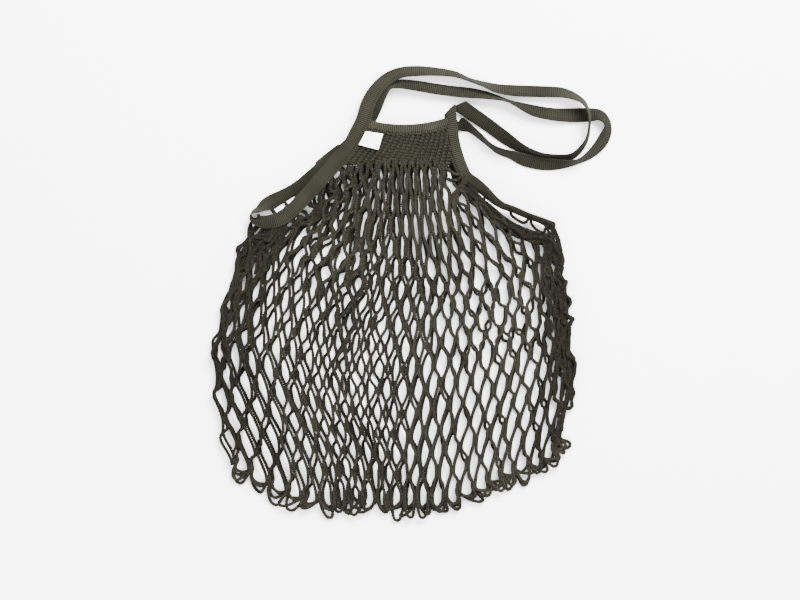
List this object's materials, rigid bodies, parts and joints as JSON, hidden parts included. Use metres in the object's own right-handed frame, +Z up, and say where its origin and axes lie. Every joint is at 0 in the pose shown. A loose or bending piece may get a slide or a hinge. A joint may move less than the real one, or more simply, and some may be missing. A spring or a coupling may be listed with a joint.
{
  "type": "string shopping bag",
  "caption": "Empty net shopping bag of knotted cotton, lying flat, with a gathered ribbed neck, taped side slits and two long tape handles.",
  "frame": {"origin": "bottom centre of the bag's box as it lies on its back on a surface", "axes": "+Z up from the surface, out of the front wall; +Y from the net's bottom to the neck; +X towards the laid handles"},
  "size_m": [0.4244, 0.4798, 0.0231],
  "materials": {
    "net": "dark olive knotted cotton cord, matt",
    "tape": "olive knitted cotton tape, cross ribbed, matt",
    "label": "white woven ribbon, bare"
  },
  "bodies": {
    "root": {"front_net": "net", "back_net": "net", "left_gather": "net", "bottom_loops": "net", "right_gather": "net", "front_rib_band": "net", "back_rib_band": "net", "front_neck_binding": "tape", "back_neck_binding": "tape", "left_front_binding": "tape", "left_back_binding": "tape", "right_front_binding": "tape", "right_back_binding": "tape", "front_handle": "tape", "back_handle": "tape", "tape_join": "tape", "sewn_label": "label"}
  },
  "joints": []
}
